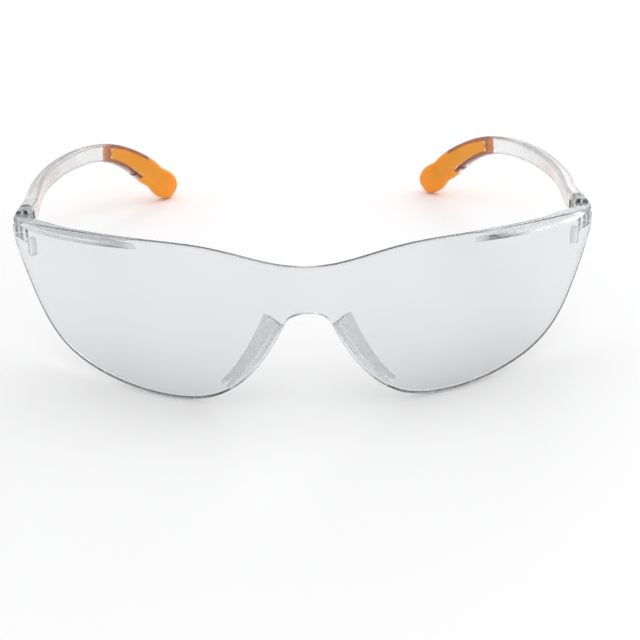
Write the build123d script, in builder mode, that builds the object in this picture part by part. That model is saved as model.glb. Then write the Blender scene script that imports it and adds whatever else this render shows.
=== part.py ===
from build123d import *
import os
from math import cos, radians, sin, sqrt

# Wraparound safety glasses: one clear moulded lens and two hinged temples with soft overmoulded tips.
# The pieces are drawn level, as worn: the wearer looks along -Y, +X is the wearer's left side, and the
# origin is the foremost point of the brow edge. They are written in the pose in which the glasses stand
# on a table, on the lens's lower edges and on the ends of the tips.

os.makedirs("parts", exist_ok=True)

# ---- Driving dimensions, mm ----
# Lens
LENS_R = 81.0  # plan radius of the outer face
BULGE_R = 130.0  # vertical radius of the outer face
LENS_T = 2.2
FRONT_Z = -2.0  # height of the foremost line of the outer face
LENS_X = 72.6  # half the width over the outer corners
NOSE_Z = -11.6  # top of the nose arch
EDGE_R = 0.5  # rounding of the outline's edges

# Brow shelf, behind the upper edge
SHELF_START = 33.0  # distance from the centre to its pointed inner end
SHELF_DEPTH = 5.5
SHELF_T = 1.2
SHELF_Z = 4.1  # height of its lower face, carried on to the centre
SHELF_TILT = 3.8  # degrees, falling outward with the brow

# Nose pads, moulded with the lens
PAD_T = 1.4
PAD_SPLAY = 24.0  # degrees from straight back
PAD_BACK = 9.5  # rear edge, from the front of the lens

# Gusset under the hinge lug
GUSSET_X = 67.0
GUSSET_W = 2.0
GUSSET_H = 4.6
GUSSET_Z = -4.5  # its middle
GUSSET_OUT = 1.2
CORNER_DROP = 1.1  # top of the lens's corner, below the top of the temple

# Hinge, wearer's left
HINGE_X = 70.6
HINGE_Y = 54.0
HINGE_Z = -1.0  # mid height of the hinge
ARM_W = 3.8  # temple at the hinge
ARM_H = 5.4
FORK_R = 4.4  # from the screw's axis to the rounded front end of the fork
FRONT_GAP = 0.35  # between the fork and the corner of the lens
LUG_T = 2.0
LUG_R = 1.8
LUG_W = 3.0
SLOT_GAP = 0.15  # above and below the lug
SHANK_R = 0.7
SHANK_FIT = 0.04  # running clearance of the shank in the lug
HEAD_R = 1.2
HEAD_H = 0.8
HEAD_PROUD = 0.1  # above the top of the fork
HEAD_ROOM_R = 1.35  # counterbore for the head
RECESS_W = 0.36
RECESS_D = 0.4
RECESS_L = 1.5
FLOOR_T = 0.4  # closed end of the screw's hole

# Temple and tip
ARM_START = 59.0  # the fork's straight block ends here
ARM_SLIM = 3.0  # thickness of the temple behind the hinge
TIP_DROP = 20.9  # fall of the middle line at the end of the tip
SKIN = 0.7  # depth of the soft material laid into each side of the core
INNER_START = 0.70  # where the tongues and the bulb begin, along the middle line
OUTER_START = 0.67
BULB_START = 0.86
BULB_GROWS = 0.62  # where the temple begins to swell
BULB_FULL = 0.91
BULB_THICKER = 1.7
BULB_HIGHER = 3.6
CORE_END = 0.94
CORE_SHARE = 0.5  # of the temple's size, for the core's end inside the bulb
INNER_MARGIN = 1.3  # clear border above and below each tongue
OUTER_MARGIN = 0.7
TONGUE_R = 1.2
ROUND_START = 0.955  # where the end of the tip begins to round off

# Standing pose
LEAN = 4.38  # degrees by which the glasses tip back
STAND_Y = -81.07  # foremost point of the brow edge, from the middle of the whole depth
STAND_Z = 35.61  # and its height above the table

CENTRE = (0, LENS_R, FRONT_Z)
AHEAD = 3.0  # distance of the outline's plane ahead of the lens


# ---- Helpers ----
def face_radius(z, depth=0.0):
    """Plan radius of the lens at height z, a given depth under its outer face."""
    return LENS_R - depth - (z - FRONT_Z) ** 2 / (2 * BULGE_R)


def face_y(x, z, depth=0.0):
    """Distance of the lens's face behind the foremost point."""
    return LENS_R - sqrt(face_radius(z, depth) ** 2 - x**2)


def radial_curve(points, tangents, count):
    """A smooth edge of the lens, seen from the centre of curvature and drawn in a plane ahead of it.

    The points are given as they look from straight ahead.
    """
    ahead = Edge.make_spline([Vector(*p) for p in points], [Vector(*t) for t in tangents])
    seen = []
    for i in range(count + 1):
        p = ahead @ (i / count)
        scale = (LENS_R + AHEAD) / (LENS_R - face_y(p.X, p.Y))
        seen.append((scale * p.X, FRONT_Z + scale * (p.Y - FRONT_Z)))
    return Spline(*seen)


def shell_section(depth_out, depth_in):
    """Vertical section of a layer of the lens between two depths under the outer face."""
    half = 0.5 * LENS_R
    arcs = []
    for depth in (depth_out, depth_in):
        radius = BULGE_R - depth
        y = BULGE_R - sqrt(radius**2 - half**2)
        arcs.append(ThreePointArc((y, FRONT_Z - half), (depth, FRONT_Z), (y, FRONT_Z + half)))
    Line(arcs[0] @ 0, arcs[1] @ 0)
    Line(arcs[0] @ 1, arcs[1] @ 1)


STANDING = Plane(
    origin=(0, STAND_Y, STAND_Z),
    x_dir=(1, 0, 0),
    z_dir=(0, sin(radians(LEAN)), cos(radians(LEAN))),
)


def write(level, label):
    """Put a finished piece into the standing pose and write it."""
    with BuildPart(STANDING) as piece:
        add(level.part)
    piece.part.label = label
    export_step(piece.part, f"parts/{label}.step")


# ---- Lens, wearer's left half ----
# Outline, drawn ahead of the lens and cut towards the centre of curvature, so that its edges stay square
with BuildSketch(Plane.XZ.offset(AHEAD)) as lens_outline:
    with BuildLine():
        brow = radial_curve(
            [(0, -0.4), (8, 0.4), (15, 2.0), (24, 3.7), (36, 4.2), (50, 3.9), (62, 3.0), (70, 1.1)],
            [(1, 0), (1, -0.3)],
            24,
        )
        radial_curve([(70, 1.1), (71.9, 0.3), (LENS_X, -1.6)], [(1, -0.3), (0, -1)], 8)
        lower = radial_curve(
            [(LENS_X, -1.6), (71.5, -6.0), (68.1, -13.5), (59.9, -26.6), (48, -32.6), (33, -35)]
            + [(22.5, -33.6), (14, -27.7), (8.2, -19.6), (6, -15.4), (4.3, -12.8), (2.4, -11.8), (0, NOSE_Z)],
            [(0, -1), (-1, 0)],
            40,
        )
        Line(lower @ 1, brow @ 0)
    make_face()

with BuildPart() as half_lens:
    with BuildSketch(Plane.YZ) as lens_wall:
        with BuildLine():
            shell_section(0, LENS_T)
        make_face()
    revolve(axis=Axis((0, LENS_R, 0), (0, 0, 1)), revolution_arc=85)
    loft(sections=[lens_outline.sketch.face(), Vertex(*CENTRE)], mode=Mode.INTERSECT)
    rim = half_lens.edges().filter_by(lambda e: e.center().X > 1 and e.length > 2 * LENS_T)
    fillet(rim, EDGE_R)

    # Brow shelf, from a point on the inner face out to the corner
    tilt = radians(SHELF_TILT)
    shelf_end_x = HINGE_X - 2.5
    shelf_tip = Vector(SHELF_START, face_y(SHELF_START, 1, LENS_T / 2))
    shelf_end = Vector(shelf_end_x, face_y(shelf_end_x, 1, LENS_T / 2))
    shelf_corner = Vector(shelf_end_x, HINGE_Y - 9.0)
    along_wall = Vector(LENS_R - shelf_tip.Y, shelf_tip.X).normalized()
    with BuildSketch(
        Plane(origin=(0, 0, SHELF_Z), x_dir=(cos(tilt), 0, -sin(tilt)), z_dir=(sin(tilt), 0, cos(tilt)))
    ) as shelf:
        with BuildLine():
            RadiusArc(shelf_tip, shelf_end, -LENS_R)
            Spline(
                shelf_tip,
                (46, face_y(46, 1, LENS_T) + 0.55 * SHELF_DEPTH),
                (58, face_y(58, 1, LENS_T) + 0.95 * SHELF_DEPTH),
                shelf_corner,
                tangents=[along_wall + Vector(0, 0.1), (0.72, 0.7)],
            )
            Line(shelf_corner, shelf_end)
        make_face()
    extrude(amount=SHELF_T)

    # Corner block, flush with the outer face and hollowed round the fork's front end
    side_in = HINGE_X - ARM_W / 2
    side_out = HINGE_X + ARM_W / 2
    block_in = (64.0, face_y(64.0, HINGE_Z, LENS_T / 2))
    block_out = (71.2, face_y(71.2, HINGE_Z, LENS_T / 2))
    with BuildSketch(Plane.XY.offset(HINGE_Z - ARM_H / 2)) as block:
        with BuildLine():
            RadiusArc(block_in, block_out, -LENS_R)
            Polyline(block_out, (side_out, HINGE_Y - 7), (side_out, HINGE_Y), (side_in, HINGE_Y))
            Spline((side_in, HINGE_Y), (side_in - 0.6, 45.0), block_in)
        make_face()
        with Locations((HINGE_X, HINGE_Y)):
            Circle(FORK_R + FRONT_GAP, mode=Mode.SUBTRACT)
    extrude(amount=ARM_H - CORNER_DROP)

    # Lug with the screw's hole
    with BuildSketch(Plane.XY.offset(HINGE_Z - LUG_T / 2)) as lug:
        with Locations((HINGE_X, HINGE_Y - FORK_R / 2 - 1)):
            Rectangle(LUG_W, FORK_R + 2)
        with Locations((HINGE_X, HINGE_Y)):
            Circle(LUG_R)
            Circle(SHANK_R + SHANK_FIT, mode=Mode.SUBTRACT)
    extrude(amount=LUG_T)

    # Small gusset under the lug, rounded below
    gusset_y = face_y(GUSSET_X, GUSSET_Z, LENS_T / 2)
    inward = Vector(-GUSSET_X, LENS_R - gusset_y, 0).normalized()
    with BuildSketch(
        Plane(origin=(GUSSET_X, gusset_y, GUSSET_Z), x_dir=(inward.Y, -inward.X, 0), z_dir=inward)
    ) as gusset:
        SlotOverall(GUSSET_H, GUSSET_W, rotation=90)
    extrude(amount=GUSSET_OUT + LENS_T / 2)

# Nose pads: bands along the sides of the cut-out, drawn out to the rear and splayed
splay = radians(PAD_SPLAY)


def pad_start(x, z):
    """Where the band starts, ahead of the wall, so that it meets the middle of the wall at (x, z)."""
    return x - (face_y(x, z, LENS_T / 2) - 1) * sin(splay) / cos(splay), z


with BuildPart() as half_pad:
    with BuildSketch(Plane.XZ.offset(-1)) as pad_band:
        with BuildLine():
            Spline(*[pad_start(*p) for p in ((5.9, -13.8), (8.9, -19.3), (14.6, -26.9), (18.4, -30.2))])
        trace(line_width=PAD_T)
    extrude(amount=(PAD_BACK - 1) / cos(splay), dir=(sin(splay), cos(splay), 0))
    # Only what lies behind the middle of the wall, with the rear corners rounded
    with BuildSketch(Plane.YZ) as behind_wall:
        with BuildLine():
            shell_section(LENS_T / 2, 3 * PAD_BACK)
        make_face()
    revolve(axis=Axis((0, LENS_R, 0), (0, 0, 1)), mode=Mode.INTERSECT)
    with BuildSketch(Plane.YZ) as pad_side:
        with Locations((PAD_BACK, -13.2)):
            RectangleRounded(2 * PAD_BACK, 2 * 18.2, 2, align=(Align.MAX, Align.CENTER))
    extrude(amount=LENS_X, mode=Mode.INTERSECT)

with BuildPart() as lens:
    add(half_lens.part)
    add(half_pad.part)
    mirror(about=Plane.YZ)
write(lens, "lens")

# ---- Temple, wearer's left ----
HEAD_SEAT_Z = HINGE_Z + ARM_H / 2 + HEAD_PROUD - HEAD_H
MIDDLE = Edge.make_spline(
    [
        Vector(HINGE_X, ARM_START, HINGE_Z),
        Vector(71.4, 80, HINGE_Z + 0.5),
        Vector(69.6, 103, HINGE_Z + 0.7),
        Vector(64.6, 125, HINGE_Z - 0.2),
        Vector(55.2, 147, HINGE_Z - 5.4),
        Vector(41.1, 163.0, HINGE_Z - TIP_DROP),
    ],
    [Vector(0, 1, 0), Vector(-0.62, 0.5, -0.7)],
)


def arm_size(t):
    """Thickness and height of the temple at t along its middle line."""
    slimming = min(1, t / 0.3)
    bulb = min(1, max(0, t - BULB_GROWS) / (BULB_FULL - BULB_GROWS))
    thick = ARM_W - (ARM_W - ARM_SLIM) * (1 - (1 - slimming) ** 2) + BULB_THICKER * bulb**2
    high = ARM_H - 0.2 * slimming + BULB_HIGHER * bulb**1.5
    rounding = sqrt(1 - (0.96 * max(0.0, (t - ROUND_START) / (1 - ROUND_START))) ** 2)
    return thick * rounding, high * rounding


def station(t):
    """Plane across the temple, with its local x pointing away from the head."""
    along = MIDDLE % t
    out = Vector(along.Y, -along.X, 0).normalized()
    return Plane(origin=MIDDLE @ t, x_dir=out, z_dir=along)


def stops(start, end, count):
    """Evenly spaced places along the middle line."""
    return [start + (end - start) * i / count for i in range(count + 1)]


def arm_section(t, share=1.0):
    """Rounded section across the temple, or a share of its size."""
    thick, high = arm_size(t)
    with BuildSketch(station(t)) as section:
        RectangleRounded(share * thick, share * high, 0.36 * share * min(thick, high))
    return section.sketch.face()


def skin_section(t, side, margin):
    """Section of the soft layer on one side (+1 away from the head), inside the margins."""
    thick, high = arm_size(t)
    with BuildSketch(station(t)) as section:
        with Locations((side * (thick / 2 - SKIN), 0)):
            Rectangle(2 * SKIN, high - 2 * margin, align=(Align.MIN if side > 0 else Align.MAX, Align.CENTER))
    return section.sketch.face()


# The whole temple behind the fork, clear core and soft tip together
with BuildPart() as arm:
    loft(sections=[arm_section(t) for t in stops(0, ROUND_START, 12) + stops(ROUND_START, 1, 5)[1:]])

# The room that the soft tip takes: a tongue laid into each side, and everything round the core's end
tongues = []
for side, start, margin in ((-1, INNER_START, INNER_MARGIN), (1, OUTER_START, OUTER_MARGIN)):
    with BuildPart() as tongue:
        loft(sections=[skin_section(t, side, margin) for t in stops(start, BULB_START + 0.03, 6)])
        front = station(start)
        ends = tongue.edges().filter_by(lambda e: abs((e % 0.5).dot(front.x_dir)) > 0.99)
        fillet(ends.filter_by(lambda e: (e.center() - front.origin).length < ARM_H), TONGUE_R)
    tongues.append(tongue.part)

with BuildPart() as core_end:
    loft(sections=[arm_section(t, CORE_SHARE) for t in stops(BULB_START - 0.02, CORE_END, 4)])

with BuildPart() as tip_room:
    with BuildSketch(station(BULB_START)):
        Rectangle(4 * ARM_H, 4 * ARM_H)
    extrude(amount=4 * ARM_H)
    add(core_end.part, mode=Mode.SUBTRACT)
    add(tongues)

with BuildPart() as tip_left:
    add(arm.part)
    add(tip_room.part, mode=Mode.INTERSECT)

with BuildPart() as temple_left:
    # Fork, open at the front and at both sides, with a rounded end
    with BuildSketch(Plane.XZ.offset(-ARM_START)):
        with Locations((HINGE_X, HINGE_Z)):
            RectangleRounded(ARM_W, ARM_H, 0.36 * ARM_W)
    extrude(amount=ARM_START - HINGE_Y + FORK_R)
    with BuildSketch(Plane.XY.offset(HINGE_Z)):
        with Locations((HINGE_X, HINGE_Y)):
            Circle(FORK_R)
            Rectangle(2 * FORK_R, ARM_START - HINGE_Y, align=(Align.CENTER, Align.MIN))
    extrude(amount=ARM_H, both=True, mode=Mode.INTERSECT)
    with BuildSketch(Plane.XY.offset(HINGE_Z)):
        with Locations((HINGE_X, HINGE_Y + LUG_R + 0.3)):
            Rectangle(2 * ARM_W, 2 * FORK_R, align=(Align.CENTER, Align.MAX))
    extrude(amount=LUG_T / 2 + SLOT_GAP, both=True, mode=Mode.SUBTRACT)
    # Hole for the screw: wider in the upper prong, with a counterbore for the head
    above = (Align.CENTER, Align.CENTER, Align.MIN)
    below = (Align.CENTER, Align.CENTER, Align.MAX)
    with Locations((HINGE_X, HINGE_Y, HINGE_Z)):
        Cylinder(SHANK_R + SHANK_FIT, ARM_H, align=above, mode=Mode.SUBTRACT)
        Cylinder(SHANK_R, ARM_H / 2 - FLOOR_T, align=below, mode=Mode.SUBTRACT)
    with Locations((HINGE_X, HINGE_Y, HEAD_SEAT_Z)):
        Cylinder(HEAD_ROOM_R, ARM_H, align=above, mode=Mode.SUBTRACT)
    add(arm.part)
    add(tip_room.part, mode=Mode.SUBTRACT)

# ---- Hinge screw, wearer's left ----
with BuildPart() as hinge_screw_left:
    shank_z = HINGE_Z - ARM_H / 2 + FLOOR_T
    with BuildSketch(Plane.XY.offset(shank_z)):
        with Locations((HINGE_X, HINGE_Y)):
            Circle(SHANK_R)
    extrude(amount=HEAD_SEAT_Z - shank_z)
    with BuildSketch(Plane.XY.offset(HEAD_SEAT_Z)):
        with Locations((HINGE_X, HINGE_Y)):
            Circle(HEAD_R)
    extrude(amount=HEAD_H)
    fillet(hinge_screw_left.edges().group_by(Axis.Z)[-1], 0.3)
    with BuildSketch(Plane.XY.offset(HEAD_SEAT_Z + HEAD_H)):
        with Locations((HINGE_X, HINGE_Y)):
            Rectangle(RECESS_L, RECESS_W)
            Rectangle(RECESS_W, RECESS_L)
    extrude(amount=-RECESS_D, mode=Mode.SUBTRACT)

# ---- Written pieces, with the wearer's right side mirrored ----
write(temple_left, "temple_left")
write(tip_left, "tip_left")
write(hinge_screw_left, "hinge_screw_left")
pairs = [(temple_left, "temple_right"), (tip_left, "tip_right"), (hinge_screw_left, "hinge_screw_right")]
for left, label in pairs:
    with BuildPart() as right:
        mirror(left.part, about=Plane.YZ)
    write(right, label)
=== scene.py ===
"""Safety glasses: materials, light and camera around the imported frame."""

from math import cos, radians, sin

import bmesh
import bpy
from mathutils import Matrix, Vector


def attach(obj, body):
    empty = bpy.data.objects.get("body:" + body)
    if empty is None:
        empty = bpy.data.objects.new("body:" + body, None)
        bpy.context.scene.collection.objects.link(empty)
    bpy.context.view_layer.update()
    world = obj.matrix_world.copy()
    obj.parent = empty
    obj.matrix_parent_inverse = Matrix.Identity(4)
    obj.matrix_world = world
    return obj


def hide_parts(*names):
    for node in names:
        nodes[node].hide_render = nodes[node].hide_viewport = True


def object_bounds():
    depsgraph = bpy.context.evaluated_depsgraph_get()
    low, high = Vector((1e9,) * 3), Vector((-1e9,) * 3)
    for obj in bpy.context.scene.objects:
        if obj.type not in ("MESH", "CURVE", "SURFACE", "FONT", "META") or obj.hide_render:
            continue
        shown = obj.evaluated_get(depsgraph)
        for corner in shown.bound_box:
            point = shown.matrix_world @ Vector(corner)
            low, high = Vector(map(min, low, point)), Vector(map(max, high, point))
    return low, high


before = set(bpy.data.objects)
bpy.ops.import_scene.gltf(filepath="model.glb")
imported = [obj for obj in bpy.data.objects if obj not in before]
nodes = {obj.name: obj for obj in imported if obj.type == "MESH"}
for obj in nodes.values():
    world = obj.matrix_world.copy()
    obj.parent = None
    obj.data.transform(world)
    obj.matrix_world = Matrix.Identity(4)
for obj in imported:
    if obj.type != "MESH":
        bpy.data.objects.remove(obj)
cad_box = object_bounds()
low, high = cad_box
centre = (low + high) / 2

# ---- Finishes, in metres ----

LENS_CENTRE = (0, low.y + 0.081, low.z + 0.035)  # inside the lens's curve, which its faces look away from
LENS_EDGE_TO_FACE = (0.90, 0.965)  # how squarely a surface faces it: an edge at most, a face at least
LENS_FINISH = {
    "tint": ((0.80, 0.81, 0.825), (0.82, 0.825, 0.835)),
    "index": 1.5,
    "depth_tint": (0.80, 0.83, 0.85),
    "haze": (0.0, 0.035),
    "edge_haze": 0.26,
}
TEMPLE_FINISH = {
    "tint": ((0.90, 0.905, 0.91), (0.92, 0.92, 0.925)),
    "index": 1.45,
    "depth_tint": (0.80, 0.82, 0.84),
    "haze": (0.17, 0.29),
}
PLASTIC_ABSORPTION = 10
FLOW_DEPTH = 0.00006
ORANGE = ((0.94, 0.30, 0.014), (0.98, 0.36, 0.022))
GRAIN_DEPTH = 0.00003
LIGHT_REACH = 0.0025  # how far light spreads inside the elastomer
STEEL = ((0.20, 0.20, 0.21), (0.38, 0.38, 0.40))
TOOL_MARK_DEPTH = 0.00001
TIP_GAP = 0.00003
SCREW_GAP = 0.00002
SAME_POINT = 1e-6  # points nearer than this are one
SHARP_EDGE = radians(35)  # edges that turn more than this stay crisp

# ---- Helpers for node materials ----


def new_material(name):
    material = bpy.data.materials.new(name)
    material.use_nodes = True
    tree = material.node_tree
    tree.nodes.clear()
    shader = tree.nodes.new("ShaderNodeBsdfPrincipled")
    output = tree.nodes.new("ShaderNodeOutputMaterial")
    tree.links.new(shader.outputs["BSDF"], output.inputs["Surface"])
    return material, tree, shader, output


def noise(tree, scale, detail=2.0, roughness=0.5, stretch=(1, 1, 1), turn=(0, 0, 0)):
    """Noise in the row frame, in cycles per metre, so that its grain has a real size on every piece."""
    place = tree.nodes.new("ShaderNodeTexCoord")
    mapping = tree.nodes.new("ShaderNodeMapping")
    mapping.inputs["Scale"].default_value = stretch
    mapping.inputs["Rotation"].default_value = turn
    texture = tree.nodes.new("ShaderNodeTexNoise")
    texture.inputs["Scale"].default_value = scale
    texture.inputs["Detail"].default_value = detail
    texture.inputs["Roughness"].default_value = roughness
    tree.links.new(place.outputs["Object"], mapping.inputs["Vector"])
    tree.links.new(mapping.outputs["Vector"], texture.inputs["Vector"])
    return texture.outputs["Fac"]


def remap(tree, value, old, new):
    """The value, stretched from the old range to the new one and held at its ends."""
    node = tree.nodes.new("ShaderNodeMapRange")
    node.inputs["From Min"].default_value = old[0]
    node.inputs["From Max"].default_value = old[1]
    node.inputs["To Min"].default_value = new[0]
    node.inputs["To Max"].default_value = new[1]
    tree.links.new(value, node.inputs["Value"])
    return node.outputs["Result"]


def colour_between(tree, value, colours, shader):
    """Colours the shader between two colours, by the value."""
    node = tree.nodes.new("ShaderNodeMix")
    node.data_type = "RGBA"
    node.inputs["A"].default_value = (*colours[0], 1)
    node.inputs["B"].default_value = (*colours[1], 1)
    tree.links.new(value, node.inputs["Factor"])
    tree.links.new(node.outputs["Result"], shader.inputs["Base Color"])


def bump(tree, value, shader, distance, strength=1.0):
    node = tree.nodes.new("ShaderNodeBump")
    node.inputs["Distance"].default_value = distance
    node.inputs["Strength"].default_value = strength
    tree.links.new(value, node.inputs["Height"])
    tree.links.new(node.outputs["Normal"], shader.inputs["Normal"])


def off_face(tree):
    """0 on the lens's curved faces, which look away from its centre, and 1 on its edges, shelves and pads."""
    geometry = tree.nodes.new("ShaderNodeNewGeometry")
    place = tree.nodes.new("ShaderNodeTexCoord")
    outward = tree.nodes.new("ShaderNodeVectorMath")
    outward.operation = "SUBTRACT"
    outward.inputs[1].default_value = LENS_CENTRE
    unit = tree.nodes.new("ShaderNodeVectorMath")
    unit.operation = "NORMALIZE"
    facing = tree.nodes.new("ShaderNodeVectorMath")
    facing.operation = "DOT_PRODUCT"
    squareness = tree.nodes.new("ShaderNodeMath")
    squareness.operation = "ABSOLUTE"
    tree.links.new(place.outputs["Object"], outward.inputs[0])
    tree.links.new(outward.outputs["Vector"], unit.inputs[0])
    tree.links.new(unit.outputs["Vector"], facing.inputs[0])
    tree.links.new(geometry.outputs["Normal"], facing.inputs[1])
    tree.links.new(facing.outputs["Value"], squareness.inputs[0])
    return remap(tree, squareness.outputs["Value"], LENS_EDGE_TO_FACE, (1, 0))


# ---- Materials ----


def clear_plastic(name, tint, index, depth_tint, haze, edge_haze=0.0):
    """Moulded clear plastic: faint flow lines, wiping marks in its gloss and, on the lens, duller edges."""
    material, tree, shader, output = new_material(name)
    shader.inputs["Transmission Weight"].default_value = 1.0
    shader.inputs["IOR"].default_value = index
    cloud = noise(tree, scale=60, detail=3)
    colour_between(tree, remap(tree, cloud, (0.35, 0.65), (0, 1)), tint, shader)
    wiping = noise(tree, scale=900, detail=3, roughness=0.6, stretch=(1, 0.08, 0.5), turn=(0.3, 0.2, 0.5))
    roughness = remap(tree, wiping, (0.35, 0.75), haze)
    if edge_haze:
        dulled = tree.nodes.new("ShaderNodeMath")
        dulled.operation = "MULTIPLY_ADD"
        dulled.inputs[1].default_value = edge_haze
        tree.links.new(off_face(tree), dulled.inputs[0])
        tree.links.new(roughness, dulled.inputs[2])
        roughness = dulled.outputs["Value"]
    tree.links.new(roughness, shader.inputs["Roughness"])
    flow = noise(tree, scale=35, detail=1, roughness=0.4, stretch=(1, 1, 2.2))
    bump(tree, flow, shader, FLOW_DEPTH)
    depth = tree.nodes.new("ShaderNodeVolumeAbsorption")
    depth.inputs["Color"].default_value = (*depth_tint, 1)
    depth.inputs["Density"].default_value = PLASTIC_ABSORPTION
    tree.links.new(depth.outputs["Volume"], output.inputs["Volume"])
    return material


def soft_rubber(name):
    """Satin elastomer: fine moulded grain, slow colour drift and a dry bloom in its gloss."""
    material, tree, shader, _ = new_material(name)
    drift = noise(tree, scale=55, detail=3, roughness=0.55)
    colour_between(tree, remap(tree, drift, (0.3, 0.7), (0, 1)), ORANGE, shader)
    bloom = noise(tree, scale=420, detail=4, roughness=0.6)
    tree.links.new(remap(tree, bloom, (0.3, 0.7), (0.40, 0.56)), shader.inputs["Roughness"])
    grain = noise(tree, scale=5200)
    bump(tree, grain, shader, GRAIN_DEPTH, strength=0.6)
    shader.inputs["Specular IOR Level"].default_value = 0.35
    shader.inputs["Subsurface Weight"].default_value = 0.7
    shader.inputs["Subsurface Scale"].default_value = LIGHT_REACH
    shader.inputs["Subsurface Radius"].default_value = (1.0, 0.45, 0.12)
    return material


def screw_steel(name):
    """Machined steel with fine tool marks and darker, duller patches."""
    material, tree, shader, _ = new_material(name)
    shader.inputs["Metallic"].default_value = 1.0
    stain = noise(tree, scale=1400, detail=3, roughness=0.6)
    colour_between(tree, remap(tree, stain, (0.35, 0.65), (0, 1)), STEEL, shader)
    polish = noise(tree, scale=3000, detail=3)
    tree.links.new(remap(tree, polish, (0.3, 0.7), (0.22, 0.42)), shader.inputs["Roughness"])
    marks = noise(tree, scale=9000, stretch=(1, 0.1, 1))
    bump(tree, marks, shader, TOOL_MARK_DEPTH, strength=0.5)
    return material


def floor_paint(name):
    """Matt, nearly white, with a faint slow unevenness."""
    material, tree, shader, _ = new_material(name)
    shader.inputs["Specular IOR Level"].default_value = 0.1
    shader.inputs["Roughness"].default_value = 0.9
    colour_between(tree, noise(tree, scale=3), ((0.93, 0.93, 0.935), (0.95, 0.95, 0.95)), shader)
    return material


# ---- Pieces ----


def seated_piece(node_name, name, body, material, gap):
    """A piece seated in clear plastic, with the hair-thin air gap that an unbonded moulding has round it.

    Where two surfaces share one place, light can't tell which it meets first, so they are kept apart.
    """
    mesh = nodes[node_name].data.copy()
    mesh.name = name
    shape = bmesh.new()
    shape.from_mesh(mesh)
    bmesh.ops.remove_doubles(shape, verts=shape.verts, dist=SAME_POINT)
    bmesh.ops.recalc_face_normals(shape, faces=shape.faces)
    shape.normal_update()
    places = [vertex.co - vertex.normal * gap for vertex in shape.verts]
    for vertex, place in zip(shape.verts, places):
        vertex.co = place
    shape.to_mesh(mesh)
    shape.free()
    mesh.materials.clear()
    mesh.materials.append(material)
    mesh.shade_smooth()
    mesh.set_sharp_from_angle(angle=SHARP_EDGE)
    piece = bpy.data.objects.new(name, mesh)
    bpy.context.scene.collection.objects.link(piece)
    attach(piece, body)
    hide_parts(node_name)


lens_plastic = clear_plastic("lens_polycarbonate", **LENS_FINISH)
temple_plastic = clear_plastic("temple_polycarbonate", **TEMPLE_FINISH)
tip_rubber = soft_rubber("tip_elastomer")
hinge_steel = screw_steel("hinge_screw_steel")

for side in ("left", "right"):
    body = f"{side}_temple"
    tip = f"tip_{side}"
    screw = f"hinge_screw_{side}"
    seated_piece(tip, f"{tip}_overmould", body, tip_rubber, TIP_GAP)
    seated_piece(screw, f"{screw}_steel", body, hinge_steel, SCREW_GAP)

for node_name, plastic in (
    ("lens", lens_plastic),
    ("temple_left", temple_plastic),
    ("temple_right", temple_plastic),
):
    for material_slot in nodes[node_name].material_slots:
        material_slot.material = plastic

# ---- Floor ----

FLOOR_SIZE = 8.0
FLOOR_GAP = 0.0002  # the floor's drop below the lowest point

half = FLOOR_SIZE / 2
floor_mesh = bpy.data.meshes.new("floor")
floor_corners = [(-half, -half, 0), (half, -half, 0), (half, half, 0), (-half, half, 0)]
floor_mesh.from_pydata(floor_corners, [], [(0, 1, 2, 3)])
floor = bpy.data.objects.new("floor", floor_mesh)
bpy.context.scene.collection.objects.link(floor)
floor.location = (centre.x, centre.y, low.z - FLOOR_GAP)
floor_mesh.materials.append(floor_paint("studio_floor"))

# ---- Light ----

SKY_STRENGTH = 0.92
SKY_FULL = 0.75  # the height, as a share of straight up, at which the sky is white
SKY_LOW = (0.86, 0.865, 0.875, 1)
SKY_HIGH = (1, 1, 1, 1)

world = bpy.data.worlds.new("studio")
bpy.context.scene.world = world
world.use_nodes = True
sky = world.node_tree
sky.nodes.clear()
background = sky.nodes.new("ShaderNodeBackground")
world_output = sky.nodes.new("ShaderNodeOutputWorld")
direction = sky.nodes.new("ShaderNodeTexCoord")
split = sky.nodes.new("ShaderNodeSeparateXYZ")
ramp = sky.nodes.new("ShaderNodeValToRGB")
sky.links.new(direction.outputs["Generated"], split.inputs["Vector"])
sky.links.new(split.outputs["Z"], ramp.inputs["Fac"])
sky.links.new(ramp.outputs["Color"], background.inputs["Color"])
sky.links.new(background.outputs["Background"], world_output.inputs["Surface"])
ramp.color_ramp.elements[0].position = 0.0
ramp.color_ramp.elements[0].color = SKY_LOW
ramp.color_ramp.elements[1].position = SKY_FULL
ramp.color_ramp.elements[1].color = SKY_HIGH
background.inputs["Strength"].default_value = SKY_STRENGTH


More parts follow.
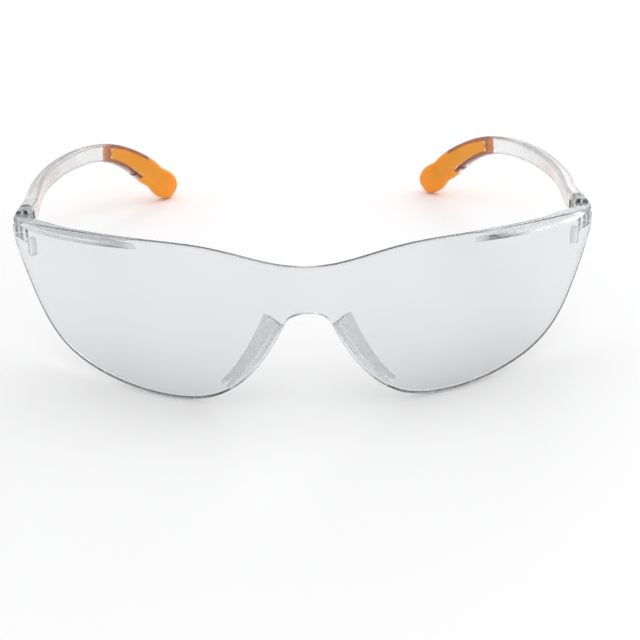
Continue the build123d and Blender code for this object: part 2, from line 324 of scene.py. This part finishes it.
def softbox(name, offset, size, power):
    """A rectangular lamp at an offset from the glasses' centre, turned towards it."""
    light = bpy.data.lights.new(name, "AREA")
    light.shape = "RECTANGLE"
    light.size, light.size_y = size
    light.energy = power
    lamp = bpy.data.objects.new(name, light)
    bpy.context.scene.collection.objects.link(lamp)
    place = centre + Vector(offset)
    lamp.location = place
    lamp.rotation_euler = (centre - place).to_track_quat("-Z", "Y").to_euler()


softbox("softbox_above", offset=(0.05, -0.1, 0.9), size=(1.2, 1.2), power=1.2)
softbox("softbox_right", offset=(0.75, 0.25, 0.55), size=(0.5, 0.9), power=1.0)
softbox("softbox_behind", offset=(0.24, 0.9, 0.40), size=(0.32, 0.30), power=1.0)

# ---- Camera ----

# The camera looks slightly down along +Y. Its elevation is over the level, as-worn axes, from which the
# standing glasses lean by LEAN. Yaw turns it towards +X.
LEAN = radians(4.38)
ELEVATION = radians(18.54) + LEAN
YAW = radians(1.31)
ROLL = radians(-0.78)
DISTANCE = 0.340
SENSOR = 36
FIELD = 2.368  # focal length as a share of the picture's width
BROW = Vector((0, -0.08107, 0.03561))  # foremost point of the brow edge
AIM_RIGHT = 0.0027  # from the brow to the point that the camera looks at
AIM_UP = -0.01257  # and square to the level plane

forward = Vector((sin(YAW) * cos(ELEVATION), cos(YAW) * cos(ELEVATION), -sin(ELEVATION)))
right = Vector((cos(YAW), -sin(YAW), 0))
up = right.cross(forward)
turned_right = right * cos(ROLL) + up * sin(ROLL)
turned_up = up * cos(ROLL) - right * sin(ROLL)
aim_point = BROW + Vector((AIM_RIGHT, AIM_UP * sin(LEAN), AIM_UP * cos(LEAN)))

camera_data = bpy.data.cameras.new("camera")
camera = bpy.data.objects.new("camera", camera_data)
bpy.context.scene.collection.objects.link(camera)
camera.matrix_world = Matrix.Translation(aim_point - forward * DISTANCE) @ Matrix(
    (
        (turned_right.x, turned_up.x, -forward.x, 0),
        (turned_right.y, turned_up.y, -forward.y, 0),
        (turned_right.z, turned_up.z, -forward.z, 0),
        (0, 0, 0, 1),
    )
)
camera_data.sensor_width = SENSOR
camera_data.lens = SENSOR * FIELD
camera_data.clip_start = 0.01
camera_data.clip_end = 50
bpy.context.scene.camera = camera
bpy.context.scene.view_settings.view_transform = "Standard"
